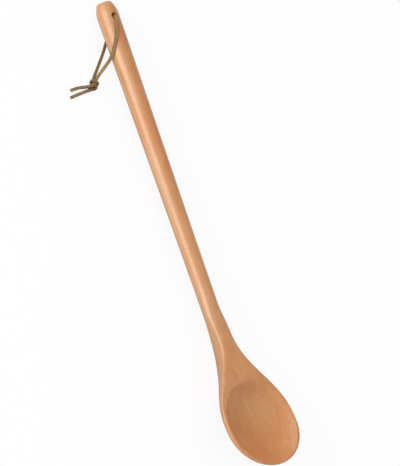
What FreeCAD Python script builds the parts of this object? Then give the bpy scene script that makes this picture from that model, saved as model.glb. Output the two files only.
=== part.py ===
import FreeCAD, Part
import math
import os
import Sketcher
from FreeCAD import Placement, Rotation, Vector

# A wooden cooking spoon with a leather hanging lace, in millimetres.
# +X runs from the handle's end to the bowl's tip, and +Z is up, with the bowl open upwards.
# The origin is half way along the spoon, on the surface that it lies on.

SIZES = [
    ("overall_length", 340),
    ("butt_diameter", 15.5),
    ("neck_diameter", 12.4),
    ("butt_rounding", 5),
    ("tip_reach", 28),
    ("flare_length", 72.5),
    ("shoulder_lead", 3.3),
    ("neck_length", 16.9),
    ("belly_reach", 45.5),
    ("bowl_width", 59),
    ("shoulder_rise", 3.6),
    ("tip_rise", 10.8),
    ("crown_height", 1),
    ("sanded_flat_depth", 0.5),
    ("heel_length", 40.2),
    ("hollow_depth", 10),
    ("side_rim_width", 2.7),
    ("tip_rim_width", 1.5),
    ("rim_rounding", 0.8),
    ("hole_from_butt", 11.5),
    ("hole_diameter", 4.4),
    ("hole_rounding", 1),
    ("lace_diameter", 2.2),
    ("lace_clearance", 0.25),
    ("knot_length", 8),
    ("knot_core_diameter", 5.4),
    ("knot_wrap_pitch", 2.5),
    ("knot_wrap_lean", 14),
]

# The handle's taper slows towards the neck.
TAPER_POWER = 1.25
# Where the outer form's sections stand, as shares of each stretch, and as angles round the tip.
HANDLE_SHARES = (0, 0.2, 0.38, 0.54, 0.68, 0.8, 0.89, 0.95, 1)
NECK_SHARES = (1 / 3, 2 / 3, 1)
RISE_SHARES = (0.2, 0.4, 0.6, 0.8, 1)
BOWL_SHARES = (1 / 7, 2 / 7, 3 / 7, 4 / 7, 5 / 7, 6 / 7, 1)
TIP_ANGLES = (14, 28, 42, 55, 66, 75, 82, 87)
# How far each cutter reaches past the wood.
CUTTER_OVERRUN = 4
# Two points closer than this are one point.
SAME_POINT = 0.001

# The lace's route, from the hole's axis on the table: X, Y and Z of the points that its runs join.
UPPER_ROUTE = [
    (0, 0, 14.83),
    (0, 0, 17.69),
    (1.91, -0.66, 19.71),
    (6.1, -1.95, 19.35),
    (11.0, -3.85, 18.55),
    (16.8, -6.45, 16.9),
    (22.4, -8.65, 13.9),
    (26.8, -10.2, 9.9),
    (31.2, -15.5, 6.7),
    (35.2, -20.7, 5.25),
    (38.22, -23.62, 5.25),
]
LOWER_ROUTE = [
    (0, 0, 5.98),
    (0, 0, 3.12),
    (2.0, -0.29, 1.1),
    (6.9, -0.8, 1.1),
    (12.8, -2.5, 1.1),
    (19.5, -7.4, 1.1),
    (26.3, -13.6, 1.1),
    (31.4, -17.6, 1.6),
    (35.2, -20.7, 2.85),
    (38.22, -23.62, 2.85),
]
SHORT_TAIL_ROUTE = [(40.9, -31.3, 1.1), (40.7, -35.6, 1.1), (41.1, -40.2, 1.1), (41.8, -44.6, 1.1)]
LONG_TAIL_ROUTE = [(44.2, -31.3, 1.1), (45.2, -36.3, 1.1), (45.9, -41.5, 1.1), (46.8, -46.7, 1.1)]
# Where the two strands go into the knot, and which way it lies.
KNOT_ENTRY = Vector(38.22, -23.624, 4.05)
KNOT_DIRECTION = Vector(0.72, -0.694, 0)
# Each arc of the route takes up this share of the shorter run beside it.
ARC_SHARE = 0.45

doc = FreeCAD.newDocument("wooden_spoon")
sheet = doc.addObject("Spreadsheet::Sheet", "Sizes")
for row, (name, size) in enumerate(SIZES, start=1):
    sheet.set(f"A{row}", name)
    sheet.set(f"B{row}", str(size))
    sheet.setAlias(f"B{row}", name)
doc.recompute()


def value(expression):
    """The number that an expression on the sheet's sizes gives now."""
    return float(sheet.evalExpression(expression))


# Places and sizes of the spoon, as expressions on the sheet. A place along it is counted back from the tip.
BUTT = "Sizes.overall_length"
WIDEST = "Sizes.tip_reach"
FLARE = f"({WIDEST} + Sizes.flare_length)"
SHOULDER = f"({FLARE} + Sizes.shoulder_lead)"
NECK = f"({SHOULDER} + Sizes.neck_length)"
LOWEST = f"({WIDEST} + Sizes.belly_reach)"
BUTT_RADIUS = "(Sizes.butt_diameter / 2)"
NECK_RADIUS = "(Sizes.neck_diameter / 2)"
BOWL_RADIUS = "(Sizes.bowl_width / 2)"
AXIS_HEIGHT = f"({BUTT_RADIUS} + Sizes.lace_diameter + Sizes.lace_clearance)"
SHOULDER_HEIGHT = f"({AXIS_HEIGHT} + Sizes.shoulder_rise)"
TIP_HEIGHT = f"({SHOULDER_HEIGHT} + Sizes.tip_rise)"
HOLLOW_WIDTH = "(Sizes.bowl_width - 2 * Sizes.side_rim_width)"
HOLLOW_LENGTH = f"({FLARE} - Sizes.heel_length - Sizes.tip_rim_width)"
HOLLOW_MIDDLE = f"(Sizes.tip_rim_width + {HOLLOW_LENGTH} / 2)"
HOLE_X = "(Sizes.hole_from_butt - Sizes.overall_length / 2)"


def from_origin(back):
    """A place's X from its distance back from the tip."""
    return f"(Sizes.overall_length / 2 - ({back}))"


def between(start, end, share):
    return f"(({start}) + (({end}) - ({start})) * ({share}))"


def eased(share):
    """A share of the way that starts and ends level."""
    return f"(({share})^2 * (3 - 2 * ({share})))"


def eased_more(share):
    """A share of the way that also starts and ends without curvature."""
    return f"(({share})^3 * (({share}) * (6 * ({share}) - 15) + 10))"


def half_width(back):
    """Half the width of the neck and bowl, up to the widest place."""
    share = f"({FLARE} - ({back})) / Sizes.flare_length"
    return between(NECK_RADIUS, BOWL_RADIUS, eased_more(f"min(max({share}; 0); 1)"))


def rim_level(back):
    """The height of the rim's straight rising line."""
    return between(TIP_HEIGHT, SHOULDER_HEIGHT, f"({back}) / {SHOULDER}")


def belly_level(back):
    """The height of the underside, from the neck down to its lowest place."""
    share = f"({NECK} - ({back})) / ({NECK} - {LOWEST})"
    return between(f"{AXIS_HEIGHT} - {NECK_RADIUS}", "-Sizes.sanded_flat_depth", eased(share))


def bowl_depth(back):
    """The bowl's depth under its rim line, from its lowest place round to the tip."""
    deepest = f"({rim_level(LOWEST)} + Sizes.sanded_flat_depth)"
    share = f"(({LOWEST} - ({back})) / {LOWEST})"
    return f"({deepest} * sqrt(1 - {share}^2))"


def spoon_sections():
    """Each section's place, level, half width, height above that level and depth below it."""
    sections = []
    for share in HANDLE_SHARES:
        radius = between(NECK_RADIUS, BUTT_RADIUS, (1 - share) ** TAPER_POWER)
        sections.append((between(BUTT, NECK, share), AXIS_HEIGHT, radius, radius, radius))
    for share in NECK_SHARES:
        back = between(NECK, SHOULDER, share)
        level = between(AXIS_HEIGHT, rim_level(back), eased(share))
        top = between(NECK_RADIUS, "Sizes.crown_height", eased(share))
        sections.append((back, level, half_width(back), top, f"({level} - {belly_level(back)})"))
    for share in RISE_SHARES:
        back = between(SHOULDER, LOWEST, share)
        depth = f"({rim_level(back)} - {belly_level(back)})"
        sections.append((back, rim_level(back), half_width(back), "Sizes.crown_height", depth))
    for share in BOWL_SHARES:
        back = between(LOWEST, WIDEST, share)
        sections.append((back, rim_level(back), half_width(back), "Sizes.crown_height", bowl_depth(back)))
    for angle in TIP_ANGLES:
        back = f"({WIDEST} * {1 - math.sin(math.radians(angle))})"
        narrowing = math.cos(math.radians(angle))
        top = f"(Sizes.crown_height * {narrowing})"
        sections.append((back, rim_level(back), f"({BOWL_RADIUS} * {narrowing})", top, bowl_depth(back)))
    return sections


# Sketches


def origin_plane(body, role):
    return next(plane for plane in body.Origin.OriginFeatures if plane.Role == role)


def new_sketch(body, name, plane):
    sketch = body.newObject("Sketcher::SketchObject", name)
    sketch.AttachmentSupport = [(origin_plane(body, plane), "")]
    sketch.MapMode = "FlatFace"
    return sketch


def bind(sketch, expression, kind, *where):
    """Add a size to a sketch and tie it to the sheet."""
    index = sketch.addConstraint(Sketcher.Constraint(kind, *where, value(expression)))
    sketch.setExpression(f"Constraints[{index}]", expression)


def relate(sketch, kind, *where):
    sketch.addConstraint(Sketcher.Constraint(kind, *where))


def quarter_circle(sketch, level, radius, quarter):
    """One quarter of a round section, counted from +Y towards +Z."""
    circle = Part.Circle(Vector(0, value(level), 0), Vector(0, 0, 1), value(radius))
    start = quarter * math.pi / 2
    arc = sketch.addGeometry(Part.ArcOfCircle(circle, start, start + math.pi / 2), False)
    level_end, upright_end = (1, 2) if quarter % 2 == 0 else (2, 1)
    relate(sketch, "PointOnObject", arc, 3, -2)
    relate(sketch, "Horizontal", arc, level_end, arc, 3)
    relate(sketch, "Vertical", arc, upright_end, arc, 3)
    bind(sketch, level, "DistanceY", -1, 1, arc, 3)
    bind(sketch, radius, "Radius", arc)


def quarter_oval(sketch, level, half_wide, height, quarter):
    """One quarter of an oval section, sized by its ellipse's two diameters."""
    centre = Vector(0, value(level), 0)
    across = Vector(value(half_wide), 0, 0)
    along = Vector(0, value(height), 0)
    start = quarter * math.pi / 2
    lies_flat = across.Length >= along.Length
    if lies_flat:
        ellipse = Part.Ellipse(centre + across, centre + along, centre)
    else:
        ellipse = Part.Ellipse(centre + along, centre - across, centre)
        start -= math.pi / 2
    oval = sketch.addGeometry(Part.ArcOfEllipse(ellipse, start, start + math.pi / 2), False)
    sketch.exposeInternalGeometry(oval)
    level_line, upright_line = (oval + 1, oval + 2) if lies_flat else (oval + 2, oval + 1)
    level_end, upright_end = (1, 2) if quarter % 2 == 0 else (2, 1)
    relate(sketch, "PointOnObject", oval, 3, -2)
    relate(sketch, "Horizontal", level_line)
    relate(sketch, "PointOnObject", oval, level_end, level_line)
    relate(sketch, "PointOnObject", oval, upright_end, upright_line)
    bind(sketch, level, "DistanceY", -1, 1, oval, 3)
    bind(sketch, f"2 * {half_wide}", "Distance", level_line)
    bind(sketch, f"2 * {height}", "Distance", upright_line)


def section_sketch(body, number, section):
    """A closed section of four quarters: two above its level line and two below."""
    back, level, half_wide, top, depth = section
    sketch = new_sketch(body, f"Section{number}", "YZ_Plane")
    sketch.setExpression("AttachmentOffset.Base.z", from_origin(back))
    is_round = top == half_wide
    for quarter, height in enumerate((top, top, depth, depth)):
        if is_round:
            quarter_circle(sketch, level, half_wide, quarter)
        else:
            quarter_oval(sketch, level, half_wide, height, quarter)
    return sketch


# The spoon's features


def outer_form(body):
    """The whole outside of the spoon, from the handle's end to the bowl's tip."""
    sketches = [section_sketch(body, number, section) for number, section in enumerate(spoon_sections())]
    doc.recompute()
    loft = body.newObject("PartDesign::AdditiveLoft", "OuterForm")
    loft.Profile = sketches[0]
    loft.Sections = sketches[1:]
    return loft


def closed_profile(sketch, corners, arc_middle=None, arc_radius=None):
    """A closed outline through corners that are tied to the sheet. Its first side may be an arc."""
    places = [Vector(value(across), value(up), 0) for across, up in corners]
    sides = [Part.LineSegment(start, end) for start, end in zip(places, places[1:] + places[:1])]
    if arc_middle:
        sides[0] = Part.Arc(places[0], arc_middle, places[1])
    indices = [sketch.addGeometry(side, False) for side in sides]
    # A sketch keeps an arc counter-clockwise, so the arc may start at its second corner.
    ends = [(1, 2)] * len(indices)
    if not sketch.getPoint(indices[0], 1).isEqual(places[0], SAME_POINT):
        ends[0] = (2, 1)
    for number, (across, up) in enumerate(corners):
        before = number - 1
        relate(sketch, "Coincident", indices[before], ends[before][1], indices[number], ends[number][0])
        bind(sketch, across, "DistanceX", -1, 1, indices[number], ends[number][0])
        bind(sketch, up, "DistanceY", -1, 1, indices[number], ends[number][0])
    if arc_middle:
        bind(sketch, arc_radius, "Radius", indices[0])


def turned_cut(body, name, sketch):
    """Cut away the sketch's outline turned about the sketch's level axis."""
    doc.recompute()
    groove = body.newObject("PartDesign::Groove", name)
    groove.Profile = sketch
    groove.ReferenceAxis = (sketch, ["H_Axis"])
    groove.Angle = 360
    return groove


def rounded_butt(body):
    """The handle's end, rounded off all round."""
    sketch = new_sketch(body, "ButtProfile", "XZ_Plane")
    sketch.setExpression("AttachmentOffset.Base.x", from_origin(BUTT))
    sketch.setExpression("AttachmentOffset.Base.y", AXIS_HEIGHT)
    rounding = "Sizes.butt_rounding"
    inner = f"({BUTT_RADIUS} - {rounding})"
    outer = f"({BUTT_RADIUS} + {CUTTER_OVERRUN})"
    ahead = f"(-{CUTTER_OVERRUN})"
    corners = [("0", inner), (rounding, BUTT_RADIUS), (rounding, outer), (ahead, outer), (ahead, inner)]
    half_way = value(rounding) * (1 - math.sqrt(0.5))
    middle = Vector(half_way, value(BUTT_RADIUS) - half_way, 0)
    closed_profile(sketch, corners, middle, rounding)
    return turned_cut(body, "ButtRounding", sketch)


def scooped_hollow(body):
    """The bowl's hollow: an arc turned about an axis over the bowl, which leans as the rim does."""
    depth = "Sizes.hollow_depth"
    round_across = f"((({HOLLOW_WIDTH} / 2)^2 + {depth}^2) / (2 * {depth}))"
    round_along = f"((({HOLLOW_LENGTH} / 2)^2 + {depth}^2) / (2 * {depth}))"
    axis_over_rim = f"({round_across} - {depth})"
    lean = f"atan(Sizes.tip_rise / {SHOULDER})"
    sketch = new_sketch(body, "HollowProfile", "XZ_Plane")
    sketch.AttachmentOffset = Placement(Vector(0, 0, 0), Rotation(Vector(0, 0, 1), 1))
    sketch.setExpression("AttachmentOffset.Rotation.Angle", lean)
    centre_x = from_origin(HOLLOW_MIDDLE)
    rim_height = rim_level(HOLLOW_MIDDLE)
    sketch.setExpression("AttachmentOffset.Base.x", f"{centre_x} - {axis_over_rim} * sin({lean})")
    sketch.setExpression("AttachmentOffset.Base.y", f"{rim_height} + {axis_over_rim} * cos({lean})")
    # The arc runs on past the rim, so that it leaves no step at the hollow's edge.
    end_drop = f"({axis_over_rim} - {CUTTER_OVERRUN})"
    reach = f"sqrt({round_along}^2 - ({round_along} - {depth} - {CUTTER_OVERRUN})^2)"
    corners = [(f"-{reach}", f"-{end_drop}"), (reach, f"-{end_drop}"), (reach, "0"), (f"-{reach}", "0")]
    closed_profile(sketch, corners, Vector(0, -value(round_across), 0), round_along)
    return turned_cut(body, "Hollow", sketch)


def lace_hole(body):
    """The hole that is drilled straight down through the handle, for the lace."""
    sketch = new_sketch(body, "HoleCircle", "XY_Plane")
    circle = Part.Circle(Vector(value(HOLE_X), 0, 0), Vector(0, 0, 1), value("Sizes.hole_diameter") / 2)
    hole = sketch.addGeometry(circle, False)
    relate(sketch, "PointOnObject", hole, 3, -1)
    bind(sketch, HOLE_X, "DistanceX", -1, 1, hole, 3)
    bind(sketch, "Sizes.hole_diameter", "Diameter", hole)
    doc.recompute()
    pocket = body.newObject("PartDesign::Pocket", "LaceHole")
    pocket.Profile = sketch
    pocket.Type = "ThroughAll"
    pocket.Reversed = True
    return pocket


def sanded_flat(body):
    """The small flat under the bowl that the spoon rests on."""
    sketch = new_sketch(body, "FlatOutline", "XY_Plane")
    near, far = from_origin(f"({LOWEST} + {BOWL_RADIUS})"), from_origin(f"({LOWEST} - {BOWL_RADIUS})")
    corners = [(near, f"-{BOWL_RADIUS}"), (far, f"-{BOWL_RADIUS}"), (far, BOWL_RADIUS), (near, BOWL_RADIUS)]
    closed_profile(sketch, corners)
    doc.recompute()
    pocket = body.newObject("PartDesign::Pocket", "SandedFlat")
    pocket.Profile = sketch
    pocket.Length = CUTTER_OVERRUN
    return pocket


def rounding(body, name, base, is_wanted, radius):
    """Round off the edges that a test picks from the body's last feature."""
    fillet = body.newObject("PartDesign::Fillet", name)
    edges = [f"Edge{n}" for n, edge in enumerate(base.Shape.Edges, start=1) if is_wanted(edge)]
    fillet.Base = (base, edges)
    fillet.setExpression("Radius", radius)
    return fillet


def is_hole_mouth(edge):
    """Whether an edge runs round one of the hole's two mouths."""
    offset = edge.BoundBox.Center.x - value(HOLE_X)
    return abs(offset) < value("Sizes.hole_diameter") / 2 and edge.BoundBox.YLength > SAME_POINT


def is_hollow_rim(edge):
    """Whether an edge runs along one side of the hollow."""
    box = edge.BoundBox
    is_in_bowl = box.XMin > value(from_origin(SHOULDER)) and box.ZMin > value(AXIS_HEIGHT)
    return is_in_bowl and box.YLength > value(HOLLOW_WIDTH) / 4


def check_cut(before, feature):
    """Stop where a cut misses the wood and leaves the volume as it was."""
    doc.recompute()
    if not feature.Shape.Volume < before.Shape.Volume:
        raise RuntimeError(f"{feature.Label} cuts nothing")
    return feature


def check_rounding(before, feature):
    """Stop where a rounding adds no face."""
    doc.recompute()
    if not len(feature.Shape.Faces) > len(before.Shape.Faces):
        raise RuntimeError(f"{feature.Label} rounds nothing")
    return feature


def make_spoon():
    """The spoon: one piece of wood, turned, carved, drilled and sanded."""
    body = doc.addObject("PartDesign::Body", "Spoon")
    body.Label = "spoon"
    form = outer_form(body)
    doc.recompute()
    butt = check_cut(form, rounded_butt(body))
    hollow = check_cut(butt, scooped_hollow(body))
    hole = check_cut(hollow, lace_hole(body))
    flat = check_cut(hole, sanded_flat(body))
    mouths = check_rounding(flat, rounding(body, "HoleMouths", flat, is_hole_mouth, "Sizes.hole_rounding"))
    check_rounding(mouths, rounding(body, "HollowRim", mouths, is_hollow_rim, "Sizes.rim_rounding"))
    return body


# The lace: tubes along straight runs and tangent arcs


def rounded_path(points):
    """Straight runs through the points, joined by the largest arcs that fit them, and the radii."""
    edges = []
    radii = []
    start = points[0]
    for before, corner, after in zip(points, points[1:], points[2:]):
        arriving = (corner - before).normalize()
        leaving = (after - corner).normalize()
        half_turn = arriving.getAngle(leaving) / 2
        tangent = ARC_SHARE * min(corner.distanceToPoint(before), corner.distanceToPoint(after))
        radius = tangent / math.tan(half_turn)
        arc_start = corner - arriving * tangent
        arc_end = corner + leaving * tangent
        inwards = (leaving - arriving).normalize()
        arc_middle = corner + inwards * (radius / math.cos(half_turn) - radius)
        edges.append(Part.LineSegment(start, arc_start).toShape())
        edges.append(Part.Arc(arc_start, arc_middle, arc_end).toShape())
        radii.append(radius)
        start = arc_end
    edges.append(Part.LineSegment(start, points[-1]).toShape())
    return Part.Wire(edges), radii


def lace_tube(name, route):
    """A stretch of lace along its route, which is placed from the hole's axis."""
    hole = Vector(value(HOLE_X), 0, 0)
    points = [hole + Vector(*point) for point in route]
    wire, radii = rounded_path(points)
    path = doc.addObject("Part::Feature", f"{name}_path")
    path.Shape = wire
    circle = doc.addObject("Part::Circle", f"{name}_section")
    circle.setExpression("Radius", "Sizes.lace_diameter / 2")
    circle.Placement = Placement(points[0], Rotation(Vector(0, 0, 1), points[1] - points[0]))
    doc.recompute()
    tube = doc.addObject("Part::Sweep", name)
    tube.Sections = [circle]
    tube.Spine = (path, [f"Edge{n}" for n in range(1, len(wire.Edges) + 1)])
    tube.Solid = True
    doc.recompute()
    expected = math.pi * value("Sizes.lace_diameter / 2") ** 2 * wire.Length
    print(f"{name}: length {wire.Length:.1f}, volume {tube.Shape.Volume:.1f} of {expected:.1f}, radii",
          [round(radius, 1) for radius in radii])
    return tube


def lace_in_hole():
    """The straight stretch through the handle, between the two strands."""
    lowest, highest = LOWER_ROUTE[0][2], UPPER_ROUTE[0][2]
    stretch = doc.addObject("Part::Cylinder", "lace_in_hole")
    stretch.setExpression("Radius", "Sizes.lace_diameter / 2")
    stretch.Height = highest - lowest
    stretch.Placement = Placement(Vector(0, 0, lowest), Rotation())
    stretch.setExpression("Placement.Base.x", HOLE_X)
    return stretch


def lace_tail(name, route):
    """A cut end of the lace, round at the root so that it can sway beside the knot."""
    tube = lace_tube(f"{name}_tube", route)
    root = doc.addObject("Part::Sphere", f"{name}_root")
    root.setExpression("Radius", "Sizes.lace_diameter / 2")
    root.Placement = Placement(Vector(value(HOLE_X), 0, 0) + Vector(*route[0]), Rotation())
    tail = doc.addObject("Part::Fuse", name)
    tail.Base = tube
    tail.Tool = root
    return tail


def lace_knot():
    """The overhand knot: a short core with two leaning wraps of lace round it."""
    entry = Vector(value(HOLE_X), 0, 0) + KNOT_ENTRY
    centre = entry + KNOT_DIRECTION * (value("Sizes.knot_length") / 2)
    turned = Rotation(Vector(0, 0, 1), KNOT_DIRECTION)
    core = doc.addObject("Part::Cylinder", "knot_core")
    core.setExpression("Radius", "Sizes.knot_core_diameter / 2")
    core.setExpression("Height", "Sizes.knot_length")
    core.Placement = Placement(entry, turned)
    wraps = []
    for side in (-1, 1):
        wrap = doc.addObject("Part::Torus", f"knot_wrap_{len(wraps) + 1}")
        wrap.setExpression("Radius1", "Sizes.knot_core_diameter / 2")
        wrap.setExpression("Radius2", "Sizes.lace_diameter / 2")
        lean = Rotation(Vector(0, 0, 1), side * value("Sizes.knot_wrap_lean"))
        place = centre + KNOT_DIRECTION * (side * value("Sizes.knot_wrap_pitch") / 2)
        wrap.Placement = Placement(place, lean * turned)
        wraps.append(wrap)
    knot = doc.addObject("Part::MultiFuse", "lace_knot")
    knot.Shapes = [core] + wraps
    return knot


def check_document(subparts):
    """Stop before anything is written where an object failed or a sub-part isn't a good solid."""
    for thing in doc.Objects:
        if "Invalid" in thing.State or "Error" in thing.State:
            raise RuntimeError(f"{thing.Label} failed: {thing.State}")
    for part in subparts:
        if part.Shape.isNull() or not part.Shape.isValid() or not part.Shape.Solids:
            raise RuntimeError(f"{part.Label} is not a valid solid")


def main():
    subparts = [
        make_spoon(),
        lace_in_hole(),
        lace_tube("lace_upper_strand", UPPER_ROUTE),
        lace_tube("lace_lower_strand", LOWER_ROUTE),
        lace_knot(),
        lace_tail("lace_tail_short", SHORT_TAIL_ROUTE),
        lace_tail("lace_tail_long", LONG_TAIL_ROUTE),
    ]
    doc.recompute()
    check_document(subparts)
    os.makedirs("parts", exist_ok=True)
    for part in subparts:
        part.Shape.exportStep(f"parts/{part.Label}.step")
        print(part.Label, round(part.Shape.Volume, 1), part.Shape.BoundBox)


main()
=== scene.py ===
import bmesh
import bpy
import math
import numpy as np
from collections import namedtuple
from mathutils import Matrix, Vector


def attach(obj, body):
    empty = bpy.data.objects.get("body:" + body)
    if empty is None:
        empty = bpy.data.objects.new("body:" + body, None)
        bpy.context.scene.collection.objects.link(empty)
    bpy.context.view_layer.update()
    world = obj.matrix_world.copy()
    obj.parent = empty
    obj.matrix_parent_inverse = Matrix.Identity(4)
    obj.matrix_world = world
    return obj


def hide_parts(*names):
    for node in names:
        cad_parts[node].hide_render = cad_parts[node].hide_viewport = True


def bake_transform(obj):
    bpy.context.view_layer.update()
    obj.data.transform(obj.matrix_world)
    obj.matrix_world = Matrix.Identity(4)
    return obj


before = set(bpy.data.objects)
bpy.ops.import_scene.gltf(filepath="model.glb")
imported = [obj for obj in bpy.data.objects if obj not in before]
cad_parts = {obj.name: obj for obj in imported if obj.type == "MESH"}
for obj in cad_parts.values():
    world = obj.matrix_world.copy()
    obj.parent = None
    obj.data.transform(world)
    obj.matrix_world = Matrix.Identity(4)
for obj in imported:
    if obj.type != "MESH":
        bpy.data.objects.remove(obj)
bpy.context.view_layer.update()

MM = 0.001

# The spoon's sizes, in millimetres. A place along it is counted back from the bowl's tip.
LENGTH = 340
BUTT_RADIUS = 7.75
BUTT_TAPER = 10
BUTT_DROP = 2.9
BUTT_ROUNDING = 1
NECK_RADIUS = 6.2
NECK_LENGTH = 22
TAPER_POWER = 1.25
BOWL_RADIUS = 29.3
WIDEST = 28
FLARE_LENGTH = 72.5
SHOULDER_SETBACK = 3.3
BELLY_REACH = 45.5
FLARE = WIDEST + FLARE_LENGTH
SHOULDER = FLARE + SHOULDER_SETBACK
NECK = SHOULDER + NECK_LENGTH
LOWEST = WIDEST + BELLY_REACH
AXIS_HEIGHT = 10.2
SHOULDER_HEIGHT = 13.8
TIP_HEIGHT = 24.6
FLAT_DEPTH = 0.5
UNDERCUT = 1.25

# The upper side's crown and rounded edge, on the bowl's rim and at the neck, in millimetres.
HEEL_END = 66
CROWN_HEIGHT = 0.5
EDGE_WIDTH = 1.5
EDGE_HEIGHT = 1.1
EDGE_DROP = 0.1
NECK_CROWN = 0.8
NECK_EDGE_WIDTH = 3.5
NECK_EDGE_HEIGHT = 1.9

# The hollow and the hole, in millimetres.
HOLLOW_LENGTH = 58.8
HOLLOW_WIDTH = 53.6
HOLLOW_DEPTH = 10
HOLLOW_MIDDLE = 30.9
HOLLOW_RAISE = 0.5
RIM_SOFTNESS = 0.15
HOLE_FROM_BUTT = 11.5
HOLE_RADIUS = 2.2
HOLE_ROUNDING = 0.6
HOLE_X = HOLE_FROM_BUTT - LENGTH / 2
HOLE_AXIS = Vector((HOLE_X * MM, 0, 0))

# The mesh's sections: how many each stretch has, where the heel's stop, and the tip's last turn in degrees.
EDGE_SECTIONS = 4
TAPER_SECTIONS = 5
HANDLE_SECTIONS = 55
NECK_SECTIONS = 21
HEEL_SECTIONS = 39
BOWL_SECTIONS = 71
TIP_SECTIONS = 61
HEEL_SECTIONS_END = 62.5
TIP_TURN = 89.2

# The mesh's columns on each half of a section. In the bowl they follow the hollow's edge, and gather there.
# A share of them lies on the rim, and the edge counts as no nearer the middle than a share of the half width.
HALF_COLUMNS = 88
RIM_SHARE = 0.4
RIM_GATHER = 0.6
HOLLOW_GATHER = 0.7
LEAST_REACH = 0.35
# From where on towards the tip they follow the edge, and over what length they begin to.
FOLLOW_START = 85
FOLLOW_LENGTH = 22

# The patch round each mouth of the hole: half its length, its steps, and its rings from outline to mouth.
PATCH_REACH = 4.4
PATCH_STEPS = 12
PATCH_COLUMNS = 17
PATCH_SHARES = (0.72, 0.45, 0.2, 0)
MOUTH_STEPS = 4
FIRST_PATCH_SECTION = 1 + EDGE_SECTIONS + TAPER_SECTIONS

# Rounds of the two searches: for the hollow's height, and for its edge.
HEIGHT_ROUNDS = 8
EDGE_ROUNDS = 30

# The lace's route, in metres from the hole's axis on the table.
UPPER_ROUTE = [
    (0.0006, -0.0003, 0.0104), (0.0004, -0.0005, 0.01483), (0.0005, -0.0006, 0.0173),
    (0.0015, -0.0009, 0.019), (0.0061, -0.002, 0.0189), (0.011, -0.0036, 0.0183),
    (0.0168, -0.0058, 0.0169), (0.0225, -0.0081, 0.0143), (0.0272, -0.0093, 0.01),
    (0.0316, -0.0142, 0.0064), (0.0359, -0.0202, 0.0049), (0.0388, -0.0238, 0.0045),
]
LOWER_ROUTE = [
    (0.0006, -0.0003, 0.0104), (0.0009, 0, 0.006), (0.0009, 0.0001, 0.0031),
    (0.0022, 0.0006, 0.0009), (0.0066, 0.0017, 0.0008), (0.0108, 0.0008, 0.0008),
    (0.015, -0.0027, 0.0008), (0.0206, -0.0071, 0.0008), (0.027, -0.0132, 0.0008),
    (0.0326, -0.0187, 0.0012), (0.0367, -0.0232, 0.002), (0.0389, -0.0244, 0.0022),
]
SHORT_TAIL_ROUTE = [
    (0.0414, -0.0316, 0.0008), (0.041, -0.0356, 0.0008),
    (0.0411, -0.0402, 0.0008), (0.0417, -0.0443, 0.0008),
]
LONG_TAIL_ROUTE = [
    (0.0442, -0.0313, 0.0008), (0.045, -0.0363, 0.0008),
    (0.0457, -0.0415, 0.0008), (0.0467, -0.0465, 0.0008),
]
KNOT_CENTRE = Vector((0.0423, -0.0272, 0.0038))
KNOT_ALONG = Vector((0.72, -0.694, 0))
KNOT_GIRTH = 1.15
# The knot's turns, in millimetres from its centre: along it, across it and up.
UPPER_TURNS = [
    (-2.5, 0, 0.9), (-0.5, -0.3, 1.0), (1.0, -0.8, 1.4), (1.9, -1.9, 1.3), (2.0, -2.3, -0.3),
    (1.7, -1.5, -2.0), (1.2, 0.3, -2.4), (0.8, 1.8, -1.6), (0.5, 2.3, 0.2), (0.2, 1.6, 1.8),
    (0.2, 0, 2.4), (0.6, -1.4, 1.6), (1.2, -1.6, 0.4), (1.9, -2.1, -0.7), (2.1, -2.8, -1.6),
]
LOWER_TURNS = [
    (-3.2, 0.3, -1.0), (-2.9, 0.9, -1.3), (-2.4, 1.9, -1.2), (-2.1, 2.3, 0.3), (-2.4, 1.6, 1.9),
    (-2.5, -0.3, 2.4), (-2.6, -1.8, 1.6), (-2.7, -2.3, -0.2), (-2.6, -1.6, -1.8), (-2.2, 0, -2.3),
    (-1.3, 0.9, -1.3), (0.4, 0.9, -0.3), (2.6, 0.3, -0.6), (3.7, -0.6, -1.6),
]

# The lace's section, in metres, and the smooth line through its route.
LACE_WIDTH = 0.0022
LACE_THICKNESS = 0.0015
LACE_CORNER = 0.0005
CORNER_STEPS = 3
LINE_ORDER = 3
LINE_STEPS = 14
# How fast the lace's flat side turns along it, and how its width wavers: size, rate and start of each wave.
FLAT_TURN = 0.12
WAVERS = [(0.03, 0.31, 0), (0.02, 0.83, 1)]
# How far from its centre the knot ends and fades.
KNOT_REACH = 0.006
KNOT_FADE = 0.002
# The lower strand is thinner up to the knot and darker there with painted shade, and both tails get a little
# painted shade.
THIN_STRAND = 0.92
STRAND_PAINTED_SHADE = 0.85
TAIL_PAINTED_SHADE = 0.55

# A layer of colour: its noise's scale along and across, that noise's detail and roughness, the values where
# the layer sets in and is full, its share, and its colour.
Layer = namedtuple("Layer", "along across detail roughness low high share colour")
BEECH = (0.765, 0.3, 0.093, 1)
PALE_PATCHES = Layer(16, 48, 2, 0.5, 0.32, 0.68, 1, (0.78, 0.392, 0.155, 1))
MOTTLES = Layer(70, 190, 2, 0.5, 0.38, 0.68, 0.5, (0.69, 0.25, 0.075, 1))
STREAKS = Layer(7, 330, 2, 0.6, 0.42, 0.72, 0.36, (0.60, 0.225, 0.075, 1))
LATE_WOOD = Layer(12, 30, 1, 0.5, 0.4, 0.65, 0.2, (0.58, 0.22, 0.07, 1))
FIBRES = Layer(40, 1500, 3, 0.6, 0.4, 0.7, 0.42, (0.555, 0.213, 0.067, 1))
FLECKS = Layer(260, 2000, 1, 0.5, 0.64, 0.74, 0.5, (0.36, 0.125, 0.04, 1))
# A pale layer painted on the handle's near side as sheen.
PAINTED_SHEEN = Layer(14, 160, 2, 0.5, 0.3, 0.7, 1, (0.8, 0.48, 0.25, 1))
LEATHER = (0.38, 0.215, 0.072, 1)
PALE_LEATHER = Layer(260, 420, 2, 0.5, 0.3, 0.7, 1, (0.48, 0.295, 0.11, 1))
NAP = Layer(1900, 2800, 3, 0.65, 0.45, 0.75, 0.5, (0.15, 0.09, 0.034, 1))
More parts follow.
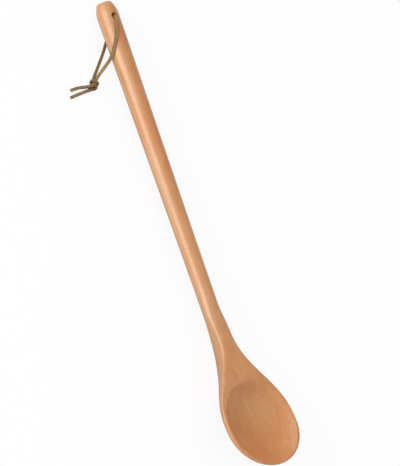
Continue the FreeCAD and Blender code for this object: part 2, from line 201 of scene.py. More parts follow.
CREASES = Layer(1500, 180, 1, 0.5, 0.55, 0.75, 0.2, (0.13, 0.075, 0.03, 1))
CUT_EDGE = (0.10, 0.06, 0.026, 1)
CUT_EDGE_SHARE = 0.55
# The painted shade's colour and its strongest share: full in the knot, weaker on the lower strand and the
# tails.
PAINTED_SHADE_COLOUR = (0.145, 0.079, 0.033, 1)
PAINTED_SHADE_SHARE = 0.58

# Places where the wood is warmer, darker or paler: the centre, the radius, how strong it is, and its colour.
TINTS = [
    ((0.146, -0.001, 0.0165), 0.026, 0.6, (0.76, 0.25, 0.055, 1)),
    ((0.111, 0.0075, 0.0145), 0.015, 0.75, (0.64, 0.21, 0.058, 1)),
    ((0.128, 0.008, 0.0125), 0.026, 0.35, (0.79, 0.41, 0.14, 1)),
    ((0.06, -0.004, 0.015), 0.045, 0.4, (0.77, 0.42, 0.19, 1)),
    ((0.096, 0.008, 0.017), 0.022, 0.45, (0.84, 0.41, 0.155, 1)),
    ((0.006, -0.004, 0.015), 0.032, 0.3, (0.78, 0.44, 0.2, 1)),
    ((-0.145, 0.018, 0.012), 0.03, 0.7, (0.58, 0.18, 0.05, 1)),
]
TINT_CORE = 0.2
# How the tints' outlines and the growth rings wander: the noise's scale along and across, and its reach.
TINT_WANDER = (60, 120, 0.014)
RING_WANDER = (9, 40, 0.006)
WANDER_DETAIL = 2
NOISE_MIDDLE = (0.5, 0.5, 0.5)
# The growth rings go round a line beside the spoon and below it, and keep nearly straight along it.
RING_CENTRE = (0, -0.03, -0.075)
RING_STRETCH = (0.04, 1, 1)
RINGS_PER_METRE = 420
LATE_WOOD_START = 0.35
LATE_WOOD_FULL = 0.95
# The painted sheen, a paler band that stands in for gloss, in metres: from where to where it sets in across,
# along and down the handle's side.
PAINTED_SHEEN_ACROSS = (-0.001, -0.006)
PAINTED_SHEEN_ALONG = (0.085, 0.05)
PAINTED_SHEEN_DOWN = (0.0145, 0.0105)
PAINTED_SHEEN_SHARES = (0.4, 0.9)

# The surfaces. The pores are a noise's scale along and across, and its detail.
WOOD_ROUGHNESS = (0.38, 0.48)
WOOD_SPECULAR = 0.6
WOOD_BUMP = 0.06
LACQUER = 1
LACQUER_ROUGHNESS = 0.33
PORES = (160, 3200, 1)
LACE_ROUGHNESS = 0.75
LACE_BUMP = 0.5
LACE_SHEEN = 0.15
LACE_SHEEN_ROUGHNESS = 0.5
CUT_EDGE_START = 0.3 * LACE_WIDTH
CUT_EDGE_FULL = 0.5 * LACE_WIDTH
BUMP_HEIGHT = 0.0002

# The stage: the floor, the room's light, the white screen in front and the key light.
WHITE = (1, 1, 1, 1)
FLOOR_REACH = 4
FLOOR_GLOW = 1.02
FLOOR_GLOW_SHARE = 0.87
FLOOR_LIT = (0.95, 0.95, 0.95, 1)
FLOOR_BOUNCE = (0.4, 0.4, 0.4, 1)
FLOOR_SHADE_REACH = 0.04
FLOOR_SHADE_SAMPLES = 4
ROOM_LIGHT = 0.7
SCREEN_HEIGHT = (0.75, 0.3)
SCREEN_FRONT = (0.3, -0.6)
SCREEN_LIGHT = (0.2, 1.5)
KEY_PLACE = Vector((-0.4, -1.1, 0.46))
KEY_SIZE = 1
KEY_POWER = 7.6

# The camera: how far it leans from straight above, how it is turned, and the width that the image shows.
CAMERA_LEAN = math.radians(40)
CAMERA_AZIMUTH = math.radians(14.3)
IMAGE_TURN = math.radians(70.73)
IMAGE_WIDTH = 0.2712
CAMERA_AIM = Vector((-0.00003, 0.01349, 0.01002))
CAMERA_DISTANCE = 8
CAMERA_CLIP = 50
SENSOR = 36


# The spoon's form


def eased(share):
    """A share from 0 to 1 that starts and ends gently."""
    return share ** 2 * (3 - 2 * share)


def eased_more(share):
    """The same, with no sudden bend at its ends."""
    return share ** 3 * (share * (6 * share - 15) + 10)


def between(start, end, share):
    return start + (end - start) * share


def neck_share(back):
    """0 on the round handle, 1 from the shoulder to the tip."""
    return eased(np.clip((NECK - back) / (NECK - SHOULDER), 0, 1))


def half_width(back):
    handle = np.clip((back - NECK) / (LENGTH - NECK), 0, 1) ** TAPER_POWER
    stem = between(NECK_RADIUS, BUTT_RADIUS, handle)
    flare = eased_more(np.clip((FLARE - back) / FLARE_LENGTH, 0, 1))
    tip = np.sqrt(1 - np.clip(1 - back / WIDEST, 0, 1) ** 2)
    return between(stem, BOWL_RADIUS, flare) * tip


def rim_level(back):
    return between(TIP_HEIGHT, SHOULDER_HEIGHT, back / SHOULDER)


def side_level(back):
    """The height of a section's widest line."""
    return between(AXIS_HEIGHT, rim_level(back) - EDGE_DROP, neck_share(back))


def along_heel(at_bowl, at_neck, back):
    """A size that changes between the hollow and the neck."""
    return between(at_bowl, at_neck, eased(np.clip((back - HEEL_END) / (SHOULDER - HEEL_END), 0, 1)))


def depth_below(back):
    """How far the underside lies below the widest line."""
    stem = half_width(back)
    neck = eased(np.clip((NECK - back) / (NECK - LOWEST), 0, 1))
    rising = side_level(back) - between(AXIS_HEIGHT - NECK_RADIUS, -FLAT_DEPTH, neck)
    deepest = rim_level(LOWEST) - EDGE_DROP + FLAT_DEPTH
    bowl = deepest * np.sqrt(np.clip(1 - (1 - back / LOWEST) ** 2, 0, 1))
    return np.where(back > NECK, stem, np.where(back > LOWEST, rising, bowl))


def inset(back, y):
    """The distance of a place from the bowl's outline, seen from above."""
    step = 0.01
    tiny = 1e-9
    slope = (half_width(back + step) - half_width(back - step)) / (2 * step)
    beside = (half_width(back) - np.abs(y)) / np.sqrt(1 + slope ** 2)
    ahead = np.clip(WIDEST - back, 0, WIDEST)
    reach = np.sqrt((ahead / WIDEST) ** 2 + (y / BOWL_RADIUS) ** 2)
    steepness = np.sqrt((ahead / WIDEST ** 2) ** 2 + (y / BOWL_RADIUS ** 2) ** 2)
    round_tip = (1 - reach) * reach / np.maximum(steepness, tiny)
    return np.clip(np.where(back < WIDEST, round_tip, beside), 0, None)


def ground_top(back, y):
    """The height of the upper side, before the hollow is scooped."""
    share = neck_share(back)
    across = np.clip(np.abs(y) / half_width(back), 0, 1)
    crown = between(NECK_RADIUS, along_heel(CROWN_HEIGHT, NECK_CROWN, back), share)
    stem = np.where(back > NECK, half_width(back), crown)
    edge_width = between(NECK_RADIUS, along_heel(EDGE_WIDTH, NECK_EDGE_WIDTH, back), share)
    over_edge = np.clip(inset(back, y) / edge_width, 0, 1)
    edge = along_heel(EDGE_HEIGHT, NECK_EDGE_HEIGHT, back) * np.sqrt(1 - (1 - over_edge) ** 2)
    return side_level(back) + stem * np.sqrt(1 - across ** 2) + share * edge


def hollow_floor(back, y):
    """The height of the hollow's surface: an arc turned about an axis that leans as the rim does."""
    round_across = ((HOLLOW_WIDTH / 2) ** 2 + HOLLOW_DEPTH ** 2) / (2 * HOLLOW_DEPTH)
    round_along = ((HOLLOW_LENGTH / 2) ** 2 + HOLLOW_DEPTH ** 2) / (2 * HOLLOW_DEPTH)
    lean = math.atan((TIP_HEIGHT - SHOULDER_HEIGHT) / SHOULDER)
    over_rim = round_across - HOLLOW_DEPTH
    ahead = HOLLOW_MIDDLE - back + over_rim * math.sin(lean)
    axis_height = rim_level(HOLLOW_MIDDLE) + HOLLOW_RAISE + over_rim * math.cos(lean)
    height = np.full(np.shape(ahead + y), -round_across)
    for _ in range(HEIGHT_ROUNDS):
        along = ahead * math.cos(lean) + height * math.sin(lean)
        turned = round_across - round_along + np.sqrt(np.clip(round_along ** 2 - along ** 2, 0, None))
        drop = np.sqrt(np.clip(turned ** 2 - y ** 2, 0, None))
        height = (ahead * math.sin(lean) - drop) / math.cos(lean)
    # The arc stops short of the neck, and past it nothing is cut.
    return np.where(back < SHOULDER, axis_height + height, TIP_HEIGHT)


def top_height(back, y):
    """The upper side with the hollow, and a soft edge where they meet."""
    ground = ground_top(back, y)
    hollow = hollow_floor(back, y)
    near = np.clip(RIM_SOFTNESS - np.abs(ground - hollow), 0, None) / RIM_SOFTNESS
    return np.minimum(ground, hollow) - near ** 2 * RIM_SOFTNESS / 4


def hollow_reach(back):
    """Half the hollow's width at each place, or none outside it."""
    low = np.zeros_like(back)
    high = half_width(back)
    for _ in range(EDGE_ROUNDS):
        middle = (low + high) / 2
        is_inside = hollow_floor(back, middle) < ground_top(back, middle)
        low = np.where(is_inside, middle, low)
        high = np.where(is_inside, high, middle)
    return low


def butt_girth(back):
    """The radius that the tapered, rounded end leaves at each place, as a share of the handle's."""
    from_end = LENGTH - back
    taper = BUTT_DROP * np.clip(1 - from_end / BUTT_TAPER, 0, 1) ** 2
    inside = np.clip(BUTT_ROUNDING - from_end, 0, BUTT_ROUNDING)
    cut = taper + BUTT_ROUNDING - np.sqrt(BUTT_ROUNDING ** 2 - inside ** 2)
    return (half_width(back) - cut) / half_width(back)


def handle_height(plan, side):
    """The height of the handle's upper or lower side over places on the table."""
    back = LENGTH / 2 - plan[:, 0]
    radius = half_width(back) * butt_girth(back)
    return AXIS_HEIGHT + side * np.sqrt(radius ** 2 - plan[:, 1] ** 2)


# Meshes


def steps(start, end, count):
    """Even places after the start, up to the end."""
    return np.linspace(start, end, count + 1)[1:]


def bridge(ring, other):
    """Faces between two closed rings of the same number of points."""
    after = ring[1:] + ring[:1]
    other_after = other[1:] + other[:1]
    return list(zip(ring, after, other_after, other))


def new_object(name, vertices, faces):
    """A smooth closed mesh with its faces turned outwards. Points that belong to no face are left out."""
    mesh = bpy.data.meshes.new(name)
    mesh.from_pydata([tuple(map(float, point)) for point in vertices], [], faces)
    made = bmesh.new()
    made.from_mesh(mesh)
    stray = [vertex for vertex in made.verts if not vertex.link_faces]
    bmesh.ops.delete(made, geom=stray, context="VERTS")
    bmesh.ops.recalc_face_normals(made, faces=made.faces)
    for face in made.faces:
        face.smooth = True
    made.to_mesh(mesh)
    made.free()
    thing = bpy.data.objects.new(name, mesh)
    bpy.context.scene.collection.objects.link(thing)
    return thing


# The spoon's mesh


def sections():
    """Places of the sections, from the handle's end to the tip."""
    edge = LENGTH - BUTT_ROUNDING * (1 - np.cos(steps(0, math.pi / 2, EDGE_SECTIONS)))
    taper = LENGTH - steps(BUTT_ROUNDING, HOLE_FROM_BUTT - PATCH_REACH, TAPER_SECTIONS + 1)[:-1]
    hole = LENGTH - HOLE_FROM_BUTT + np.linspace(PATCH_REACH, -PATCH_REACH, PATCH_STEPS + 1)
    handle = steps(hole[-1], NECK, HANDLE_SECTIONS)
    neck = steps(NECK, SHOULDER, NECK_SECTIONS)
    heel = steps(SHOULDER, HEEL_SECTIONS_END, HEEL_SECTIONS)
    bowl = steps(HEEL_SECTIONS_END, WIDEST, BOWL_SECTIONS)
    tip = WIDEST * (1 - np.sin(np.radians(steps(0, TIP_TURN, TIP_SECTIONS))))
    return np.concatenate([[LENGTH], edge, taper, hole, handle, neck, heel, bowl, tip])


def column_places(back):
    """Each column's Y on the upper side. In the bowl the columns follow the hollow's edge."""
    wide = half_width(back)
    angle = np.linspace(0, math.pi, HALF_COLUMNS + 1)
    even = wide * np.cos(angle)
    share = np.linspace(0, 1, HALF_COLUMNS // 2 + 1)
    edge = np.maximum(hollow_reach(back), LEAST_REACH * wide)
    on_rim = np.clip(share / RIM_SHARE, 0, 1)
    in_hollow = np.clip((share - RIM_SHARE) / (1 - RIM_SHARE), 0, 1)
    rim = wide - (wide - edge) * between(on_rim, eased(on_rim), RIM_GATHER)
    hollow = edge * (1 - between(in_hollow, in_hollow ** 2, HOLLOW_GATHER))
    half = np.where(share < RIM_SHARE, rim, hollow)
    followed = np.concatenate([half, -half[:, -2::-1]], axis=1)
    return between(even, followed, eased(np.clip((FOLLOW_START - back) / FOLLOW_LENGTH, 0, 1)))


def spoon_rings():
    """The sections' points, as a grid of sections by columns: the upper side first, then the lower side."""
    back = sections()[:, None]
    girth = butt_girth(back)
    upper_y = column_places(back)[:, :-1]
    upper_z = top_height(back, upper_y)
    angle = np.linspace(math.pi, 2 * math.pi, HALF_COLUMNS + 1)[:-1]
    lower_y = half_width(back) * np.cos(angle)
    fullness = along_heel(UNDERCUT, 1, back)
    lower_z = side_level(back) - depth_below(back) * np.abs(np.sin(angle)) ** fullness
    y = np.concatenate([upper_y, lower_y], axis=1) * girth
    z = np.concatenate([upper_z, np.maximum(lower_z, 0)], axis=1)
    z = between(AXIS_HEIGHT, z, girth)
    x = np.broadcast_to(LENGTH / 2 - back, y.shape)
    return np.stack([x, y, z], axis=2)


def grid_faces(count, columns, patch_columns):
    """Faces between the sections, apart from the patches, and the two end faces."""
    in_patch = {
        (section, first_column + column)
        for section in range(FIRST_PATCH_SECTION, FIRST_PATCH_SECTION + PATCH_STEPS)
        for column in range(2 * PATCH_COLUMNS)
        for first_column in patch_columns
    }
    faces = []
    for section in range(count - 1):
        near = section * columns
        far = near + columns
        for column in range(columns):
            if (section, column) not in in_patch:
                after = (column + 1) % columns
                faces.append((near + column, near + after, far + after, far + column))
    faces.append(tuple(range(columns)))
    faces.append(tuple(range((count - 1) * columns, count * columns)))
    return faces


def patch_loop(first_column):
    """The patch's outline, as sections and columns of the grid."""
    first = FIRST_PATCH_SECTION
    last = first + PATCH_STEPS
    last_column = first_column + 2 * PATCH_COLUMNS
    loop = [(first, column) for column in range(first_column, last_column)]
    loop += [(section, last_column) for section in range(first, last)]
    loop += [(last, column) for column in range(last_column, first_column, -1)]
    loop += [(section, first_column) for section in range(last, first, -1)]
    return loop


def hole_patch(outline, side):
    """Rings of points from the patch's outline down into the hole's mouth, on the upper or lower side."""
    centre = np.array([HOLE_X, 0])
    spokes = outline[:, :2] - centre
    spokes /= np.linalg.norm(spokes, axis=1)[:, None]
    mouth = centre + spokes * (HOLE_RADIUS + HOLE_ROUNDING)
    made = []
    for share in PATCH_SHARES:
        plan = between(mouth, outline[:, :2], share)
        made.append(np.column_stack([plan, handle_height(plan, side)]))
    for turn in steps(0, math.pi / 2, MOUTH_STEPS):
        plan = centre + spokes * (HOLE_RADIUS + HOLE_ROUNDING * (1 - math.sin(turn)))
        inwards = side * HOLE_ROUNDING * (1 - math.cos(turn))
        made.append(np.column_stack([plan, handle_height(mouth, side) - inwards]))
    return made


def build_spoon():
    rings = spoon_rings()
    count, columns = rings.shape[:2]
    upper_column = HALF_COLUMNS // 2 - PATCH_COLUMNS
    lower_column = upper_column + HALF_COLUMNS
    vertices = [tuple(point) for point in rings.reshape(-1, 3)]
    faces = grid_faces(count, columns, (upper_column, lower_column))
    mouths = []
    for first_column, side in ((upper_column, 1), (lower_column, -1)):
        loop = patch_loop(first_column)
        outline = np.array([rings[section, column] for section, column in loop])
        previous = [section * columns + column for section, column in loop]
        for ring in hole_patch(outline, side):
            current = list(range(len(vertices), len(vertices) + len(ring)))
            vertices += [tuple(point) for point in ring]
            faces += bridge(previous, current)
            previous = current
        mouths.append(previous)
    # The wall joins the two mouths, and the lower mouth's points are matched to the upper one's.
    upper, lower = mouths
    plan = np.array([vertices[index][:2] for index in lower])
    away = [np.hypot(*(plan - np.array(vertices[index][:2])).T) for index in upper]
    faces += bridge(upper, [lower[int(np.argmin(distance))] for distance in away])
    return new_object("spoon_wood", np.array(vertices) * MM, faces)


# The lace's mesh


def knot_points(turns):
    across = Vector((-KNOT_ALONG.y, KNOT_ALONG.x, 0))
    up = Vector((0, 0, 1))
    return [KNOT_CENTRE + (KNOT_ALONG * a + (across * b + up * c) * KNOT_GIRTH) * MM for a, b, c in turns]


def smooth_line(name, route):
    """Points along the NURBS spline that has the route's points as its control points."""
    curve = bpy.data.curves.new(name, "CURVE")
    curve.dimensions = "3D"
    curve.resolution_u = LINE_STEPS
    spline = curve.splines.new("NURBS")
    spline.points.add(len(route) - 1)
    for point, place in zip(spline.points, route):
        point.co = (*(Vector(place) + HOLE_AXIS), 1)
    spline.order_u = LINE_ORDER
    spline.use_endpoint_u = True
    holder = bpy.data.objects.new(name, curve)
    bpy.context.scene.collection.objects.link(holder)
    bpy.context.view_layer.update()
    line = bpy.data.meshes.new_from_object(holder.evaluated_get(bpy.context.evaluated_depsgraph_get()))
    points = [vertex.co.copy() for vertex in line.vertices]
    bpy.data.objects.remove(holder)
    bpy.data.curves.remove(curve)
    bpy.data.meshes.remove(line)
    return points


def lace_section():
    """A rounded rectangle, as offsets across the lace's width and thickness."""
    offsets = []
    for quarter, (right, up) in enumerate(((1, 1), (-1, 1), (-1, -1), (1, -1))):
        for step in range(CORNER_STEPS + 1):
            angle = (quarter + step / CORNER_STEPS) * math.pi / 2
            across = right * (LACE_WIDTH / 2 - LACE_CORNER) + LACE_CORNER * math.cos(angle)
            raised = up * (LACE_THICKNESS / 2 - LACE_CORNER) + LACE_CORNER * math.sin(angle)
            offsets.append((across, raised))
    return offsets


def knot_share(point):
    """1 in the knot, 0 a little way out of it."""
    away = point - KNOT_CENTRE - HOLE_AXIS
    return min(max((KNOT_REACH - away.length) / KNOT_FADE, 0), 1)


def lace_frames(points):
    """The directions along the lace and across its width at each point, which is level outside the knot."""
    frames = []
    wide = Vector((0, 1, 0))
    for number, point in enumerate(points):
        before = points[max(number - 1, 0)]
        after = points[min(number + 1, len(points) - 1)]
        along = (after - before).normalized()
        in_knot = knot_share(point)
        level = Vector((0, 0, 1)).cross(along)
        wanted = level * (1 - in_knot) + KNOT_ALONG * in_knot
        if wanted.dot(wide) < 0:
            wanted.negate()
        wide = wide + wanted * FLAT_TURN
        wide = (wide - along * wide.dot(along)).normalized()
        frames.append((along, wide))
    return frames


def build_lace(name, points, strand_size, strand_shade):
    """The lace along a line, with each point's place along and across it, and how much painted shade it gets.
    """
    section = lace_section()
    vertices = []
    places = []
    painted_shades = []
    travelled = 0
    for number, (point, (along, wide)) in enumerate(zip(points, lace_frames(points))):
        normal = along.cross(wide)
        travelled += (point - points[max(number - 1, 0)]).length
        in_knot = knot_share(point)
        is_tail = point.y < KNOT_CENTRE.y
        size = 1 if is_tail else between(strand_size, 1, in_knot)
        swell = 1 + sum(wave * math.sin(number * rate + start) for wave, rate, start in WAVERS)
        vertices += [point + (wide * across * swell + normal * raised) * size for across, raised in section]
        places += [(travelled, across, raised) for across, raised in section]
        # Painted shade: full in the knot, the strand's share along the strand, and the tails' share on the
        # tails.
        painted_shades += [between(TAIL_PAINTED_SHADE if is_tail else strand_shade, 1, in_knot)] * len(section)
    count = len(section)
    rings = [list(range(start, start + count)) for start in range(0, len(vertices), count)]
    faces = [face for ring, other in zip(rings, rings[1:]) for face in bridge(ring, other)]
    faces += [tuple(rings[0]), tuple(rings[-1])]
    lace = new_object(name, vertices, faces)
    for face in lace.data.polygons[-2:]:
        face.use_smooth = False
    place = lace.data.attributes.new("lace_place", "FLOAT_VECTOR", "POINT")
    place.data.foreach_set("vector", np.array(places, np.float32).ravel())
    painted_shade = lace.data.attributes.new("painted_shade", "FLOAT", "POINT")
    painted_shade.data.foreach_set("value", painted_shades)
    return lace


# Shader nodes


def node(tree, kind, inputs=None, **settings):
    made = tree.nodes.new(kind)
    for name, value in settings.items():
        setattr(made, name, value)
    for name, value in (inputs or {}).items():
        if isinstance(value, bpy.types.NodeSocket):
            tree.links.new(value, made.inputs[name])
        else:
            made.inputs[name].default_value = value
    return made


def new_material(name):
    material = bpy.data.materials.new(name)
    material.use_nodes = True
    material.node_tree.nodes.clear()
    return material, material.node_tree


def noise_node(tree, place, along, across, detail, roughness=0.5):
    """A noise with one scale along X and another across it."""
    scale = (along, across, across)
    stretched = node(tree, "ShaderNodeMapping", {"Vector": place, "Scale": scale}).outputs[0]
    inputs = {"Vector": stretched, "Scale": 1, "Detail": detail, "Roughness": roughness}
    return node(tree, "ShaderNodeTexNoise", inputs).outputs


def ramp(tree, value, low, high):
    """A value that goes from 0 at low to 1 at high, gently."""
    inputs = {"Value": value, "From Min": low, "From Max": high}
    return node(tree, "ShaderNodeMapRange", inputs, interpolation_type="SMOOTHSTEP").outputs[0]


def spread(tree, value, at_low, at_high, low=0, high=1):
    """A value that goes evenly from at_low, where another is low, to at_high, where it is high."""
    inputs = {"Value": value, "From Min": low, "From Max": high, "To Min": at_low, "To Max": at_high}
    return node(tree, "ShaderNodeMapRange", inputs).outputs[0]


def math_node(tree, operation, first, second=0):
    return node(tree, "ShaderNodeMath", {0: first, 1: second}, operation=operation).outputs[0]


def times(tree, first, second):
    return math_node(tree, "MULTIPLY", first, second)


def vector_node(tree, operation, first, second=(0, 0, 0)):
    return node(tree, "ShaderNodeVectorMath", {0: first, 1: second}, operation=operation).outputs


def mixed(tree, share, first, second):
    """Two colours mixed: the first where the share is 0, the second where it is 1."""
    # Inputs 6 and 7, and output 2, are the node's colours.
    return node(tree, "ShaderNodeMix", {0: share, 6: first, 7: second}, data_type="RGBA").outputs[2]


def shaders_mixed(tree, share, first, second):
    return node(tree, "ShaderNodeMixShader", {0: share, 1: first.outputs[0], 2: second.outputs[0]})


def layer_noise(tree, place, layer):
    return noise_node(tree, place, layer.along, layer.across, layer.detail, layer.roughness)["Fac"]


def layer_mask(tree, value, layer):
    return ramp(tree, value, layer.low, layer.high)


def laid_over(tree, colour, mask, layer):
    return mixed(tree, times(tree, mask, layer.share), colour, layer.colour)


def with_layer(tree, colour, place, layer):
    """A colour with a layer of noise laid over it."""
    return laid_over(tree, colour, layer_mask(tree, layer_noise(tree, place, layer), layer), layer)


def wandering(tree, place, along, across, reach):
    """The place, moved a little to and fro."""
    turned = noise_node(tree, place, along, across, WANDER_DETAIL)["Color"]
    centred = vector_node(tree, "SUBTRACT", turned, NOISE_MIDDLE)[0]
    bent = vector_node(tree, "MULTIPLY", centred, (reach, reach, reach))[0]
    return vector_node(tree, "ADD", place, bent)[0]


# Materials


def late_wood_mask(tree, place):
    """The dark side of each growth ring, in patches."""
    moved = wandering(tree, place, *RING_WANDER)
    from_centre = vector_node(tree, "SUBTRACT", moved, RING_CENTRE)[0]
    flat = vector_node(tree, "MULTIPLY", from_centre, RING_STRETCH)[0]
    distance = vector_node(tree, "LENGTH", flat)["Value"]
    in_ring = math_node(tree, "FRACT", times(tree, distance, RINGS_PER_METRE))
    patches = layer_mask(tree, layer_noise(tree, place, LATE_WOOD), LATE_WOOD)
    return times(tree, ramp(tree, in_ring, LATE_WOOD_START, LATE_WOOD_FULL), patches)


def tinted(tree, colour, place):
    """The colour with the warmer, darker and paler places."""
    moved = wandering(tree, place, *TINT_WANDER)
    for centre, radius, share, tint in TINTS:
        distance = vector_node(tree, "DISTANCE", moved, centre)["Value"]
        spot = ramp(tree, distance, radius, TINT_CORE * radius)
        colour = mixed(tree, times(tree, spot, share), colour, tint)
    return colour


def painted_sheen_mask(tree, place):
    """Painted sheen on the handle's near side, more so towards the table, in patches."""
    along, across, up = node(tree, "ShaderNodeSeparateXYZ", {0: place}).outputs
    on_side = times(tree, ramp(tree, across, *PAINTED_SHEEN_ACROSS), ramp(tree, along, *PAINTED_SHEEN_ALONG))
    low_side = times(tree, on_side, spread(tree, up, *PAINTED_SHEEN_SHARES, *PAINTED_SHEEN_DOWN))
    return times(tree, low_side, layer_mask(tree, layer_noise(tree, place, PAINTED_SHEEN), PAINTED_SHEEN))


def wood_material():
    """Lacquered beech: straight fibres along X, faint growth rings, short dark flecks, soft mottling, and a
    painted sheen on the handle's near side.
    """
    material, tree = new_material("lacquered_beech")
    place = node(tree, "ShaderNodeTexCoord").outputs["Object"]
    fibres = layer_noise(tree, place, FIBRES)
    colour = BEECH
    for layer in (PALE_PATCHES, MOTTLES, STREAKS):
        colour = with_layer(tree, colour, place, layer)
    colour = laid_over(tree, colour, late_wood_mask(tree, place), LATE_WOOD)
    colour = tinted(tree, colour, place)
    colour = laid_over(tree, colour, layer_mask(tree, fibres, FIBRES), FIBRES)
    colour = with_layer(tree, colour, place, FLECKS)
    # Painted sheen on the handle's near side.
    colour = laid_over(tree, colour, painted_sheen_mask(tree, place), PAINTED_SHEEN)
    height = math_node(tree, "ADD", fibres, noise_node(tree, place, *PORES)["Fac"])
    inputs = {"Height": height, "Strength": WOOD_BUMP, "Distance": BUMP_HEIGHT}
    shader = node(tree, "ShaderNodeBsdfPrincipled", {
        "Base Color": colour,
        "Roughness": spread(tree, fibres, *WOOD_ROUGHNESS),
        "Normal": node(tree, "ShaderNodeBump", inputs).outputs[0],
        "Specular IOR Level": WOOD_SPECULAR,
        "Coat Weight": LACQUER,
        "Coat Roughness": LACQUER_ROUGHNESS,
    })
    node(tree, "ShaderNodeOutputMaterial", {"Surface": shader.outputs[0]})
    return material


def lace_material():
    """Matte olive-brown leather with a fine nap, dark cut edges, and brown painted shade in the knot, on the
    lower strand and on the tails.
    """
    material, tree = new_material("leather_lace")
    place = node(tree, "ShaderNodeAttribute", attribute_name="lace_place").outputs["Vector"]
    painted_shade = node(tree, "ShaderNodeAttribute", attribute_name="painted_shade").outputs["Fac"]
    nap = layer_noise(tree, place, NAP)
    creases = layer_mask(tree, layer_noise(tree, place, CREASES), CREASES)
    across = node(tree, "ShaderNodeSeparateXYZ", {0: place}).outputs[1]
    cut_edge = ramp(tree, math_node(tree, "ABSOLUTE", across), CUT_EDGE_START, CUT_EDGE_FULL)
    colour = with_layer(tree, LEATHER, place, PALE_LEATHER)
    colour = laid_over(tree, colour, layer_mask(tree, nap, NAP), NAP)
    colour = laid_over(tree, colour, creases, CREASES)
    colour = mixed(tree, times(tree, cut_edge, CUT_EDGE_SHARE), colour, CUT_EDGE)
    # Painted shade, strongest in the knot.
    colour = mixed(tree, times(tree, painted_shade, PAINTED_SHADE_SHARE), colour, PAINTED_SHADE_COLOUR)
    height = math_node(tree, "SUBTRACT", nap, creases)
    inputs = {"Height": height, "Strength": LACE_BUMP, "Distance": BUMP_HEIGHT}
    shader = node(tree, "ShaderNodeBsdfPrincipled", {
        "Base Color": colour,
        "Roughness": LACE_ROUGHNESS,
        "Normal": node(tree, "ShaderNodeBump", inputs).outputs[0],
        "Sheen Weight": LACE_SHEEN,
        "Sheen Roughness": LACE_SHEEN_ROUGHNESS,
    })
    node(tree, "ShaderNodeOutputMaterial", {"Surface": shader.outputs[0]})
    return material


def floor_material():
    """A floor that is white where it is looked at, with a faint shadow, and shaded in reflections."""
    material, tree = new_material("white_floor")
    path = node(tree, "ShaderNodeLightPath").outputs
    looked_at = math_node(tree, "MAXIMUM", path["Is Camera Ray"], path["Is Transmission Ray"])
    inputs = {"Distance": FLOOR_SHADE_REACH}
    shade = node(tree, "ShaderNodeAmbientOcclusion", inputs, samples=FLOOR_SHADE_SAMPLES).outputs["AO"]
    bounced = node(tree, "ShaderNodeBsdfDiffuse", {"Color": FLOOR_BOUNCE})
    mirrored = node(tree, "ShaderNodeEmission", {"Color": WHITE, "Strength": shade})
    lit = node(tree, "ShaderNodeBsdfDiffuse", {"Color": FLOOR_LIT})
    glow = node(tree, "ShaderNodeEmission", {"Color": WHITE, "Strength": FLOOR_GLOW})
    unseen = shaders_mixed(tree, path["Is Glossy Ray"], bounced, mirrored)
    seen = shaders_mixed(tree, FLOOR_GLOW_SHARE, lit, glow)
    shown = shaders_mixed(tree, looked_at, unseen, seen)
    node(tree, "ShaderNodeOutputMaterial", {"Surface": shown.outputs[0]})
    return material


# The stage


def add_floor():
    corners = [(x * FLOOR_REACH, y * FLOOR_REACH, 0) for x, y in ((-1, -1), (1, -1), (1, 1), (-1, 1))]
    mesh = bpy.data.meshes.new("floor")
    mesh.from_pydata(corners, [], [(0, 1, 2, 3)])
    floor = bpy.data.objects.new("floor", mesh)
    bpy.context.scene.collection.objects.link(floor)
    mesh.materials.append(floor_material())


def add_key_light():
    lamp = bpy.data.lights.new("key", "AREA")
    lamp.shape = "SQUARE"
    lamp.size = KEY_SIZE
    lamp.energy = KEY_POWER
    light = bpy.data.objects.new("key", lamp)
    light.location = KEY_PLACE
    light.rotation_mode = "QUATERNION"
    light.rotation_quaternion = (-KEY_PLACE).to_track_quat("-Z", "Y")
    bpy.context.scene.collection.objects.link(light)


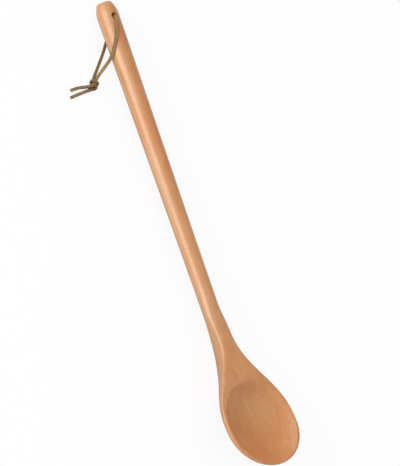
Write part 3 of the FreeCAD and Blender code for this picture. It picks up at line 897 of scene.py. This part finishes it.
def add_world():
    """White where it is looked at, and even light. Reflections show a dim room with a white screen."""
    world = bpy.data.worlds.new("studio")
    world.use_nodes = True
    tree = world.node_tree
    tree.nodes.clear()
    direction = node(tree, "ShaderNodeTexCoord").outputs["Generated"]
    parts = node(tree, "ShaderNodeSeparateXYZ", {0: direction}).outputs
    screen = times(tree, ramp(tree, parts[2], *SCREEN_HEIGHT), ramp(tree, parts[1], *SCREEN_FRONT))
    brightness = spread(tree, screen, *SCREEN_LIGHT)
    around = node(tree, "ShaderNodeBackground", {"Color": WHITE, "Strength": ROOM_LIGHT})
    mirrored = node(tree, "ShaderNodeBackground", {"Color": WHITE, "Strength": brightness})
    seen = node(tree, "ShaderNodeBackground", {"Color": WHITE, "Strength": 1})
    path = node(tree, "ShaderNodeLightPath").outputs
    in_gloss = math_node(tree, "MAXIMUM", path["Is Glossy Ray"], path["Is Transmission Ray"])
    unseen = shaders_mixed(tree, in_gloss, around, mirrored)
    shown = shaders_mixed(tree, path["Is Camera Ray"], unseen, seen)
    node(tree, "ShaderNodeOutputWorld", {"Surface": shown.outputs[0]})
    bpy.context.scene.world = world


def add_camera():
    towards = Vector((
        math.sin(CAMERA_LEAN) * math.sin(CAMERA_AZIMUTH),
        -math.sin(CAMERA_LEAN) * math.cos(CAMERA_AZIMUTH),
        math.cos(CAMERA_LEAN),
    ))
    along = (Vector((1, 0, 0)) - towards * towards.x).normalized()
    across = towards.cross(along)
    right = along * math.cos(IMAGE_TURN) + across * math.sin(IMAGE_TURN)
    up = across * math.cos(IMAGE_TURN) - along * math.sin(IMAGE_TURN)
    data = bpy.data.cameras.new("camera")
    data.sensor_fit = "HORIZONTAL"
    data.sensor_width = SENSOR
    data.lens = SENSOR * CAMERA_DISTANCE / IMAGE_WIDTH
    data.clip_end = CAMERA_CLIP
    camera = bpy.data.objects.new("camera", data)
    turned = Matrix((right, up, towards)).transposed().to_4x4()
    camera.matrix_world = Matrix.Translation(CAMERA_AIM + towards * CAMERA_DISTANCE) @ turned
    bpy.context.scene.collection.objects.link(camera)
    bpy.context.scene.camera = camera


# The dressed pieces


def add_lace(name, route, nodes, material, strand_size=1, strand_shade=0):
    """One half of the lace, from the middle of the hole to its cut end."""
    points = smooth_line(f"{name}_line", route)
    lace = build_lace(name, points, strand_size, strand_shade)
    lace.data.materials.append(material)
    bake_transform(lace)
    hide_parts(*nodes)


def add_spoon():
    spoon = build_spoon()
    spoon.data.materials.append(wood_material())
    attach(spoon, "spoon")
    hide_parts("spoon")


add_camera()
leather = lace_material()
add_lace(
    "lace_upper_half", UPPER_ROUTE + knot_points(UPPER_TURNS) + SHORT_TAIL_ROUTE,
    ["lace_in_hole", "lace_upper_strand", "lace_knot", "lace_tail_short"], leather,
)
add_lace(
    "lace_lower_half", LOWER_ROUTE + knot_points(LOWER_TURNS) + LONG_TAIL_ROUTE,
    ["lace_lower_strand", "lace_tail_long"], leather, THIN_STRAND, STRAND_PAINTED_SHADE,
)
add_spoon()
add_floor()
add_world()
add_key_light()

view = bpy.context.scene.view_settings
view.view_transform = "Standard"
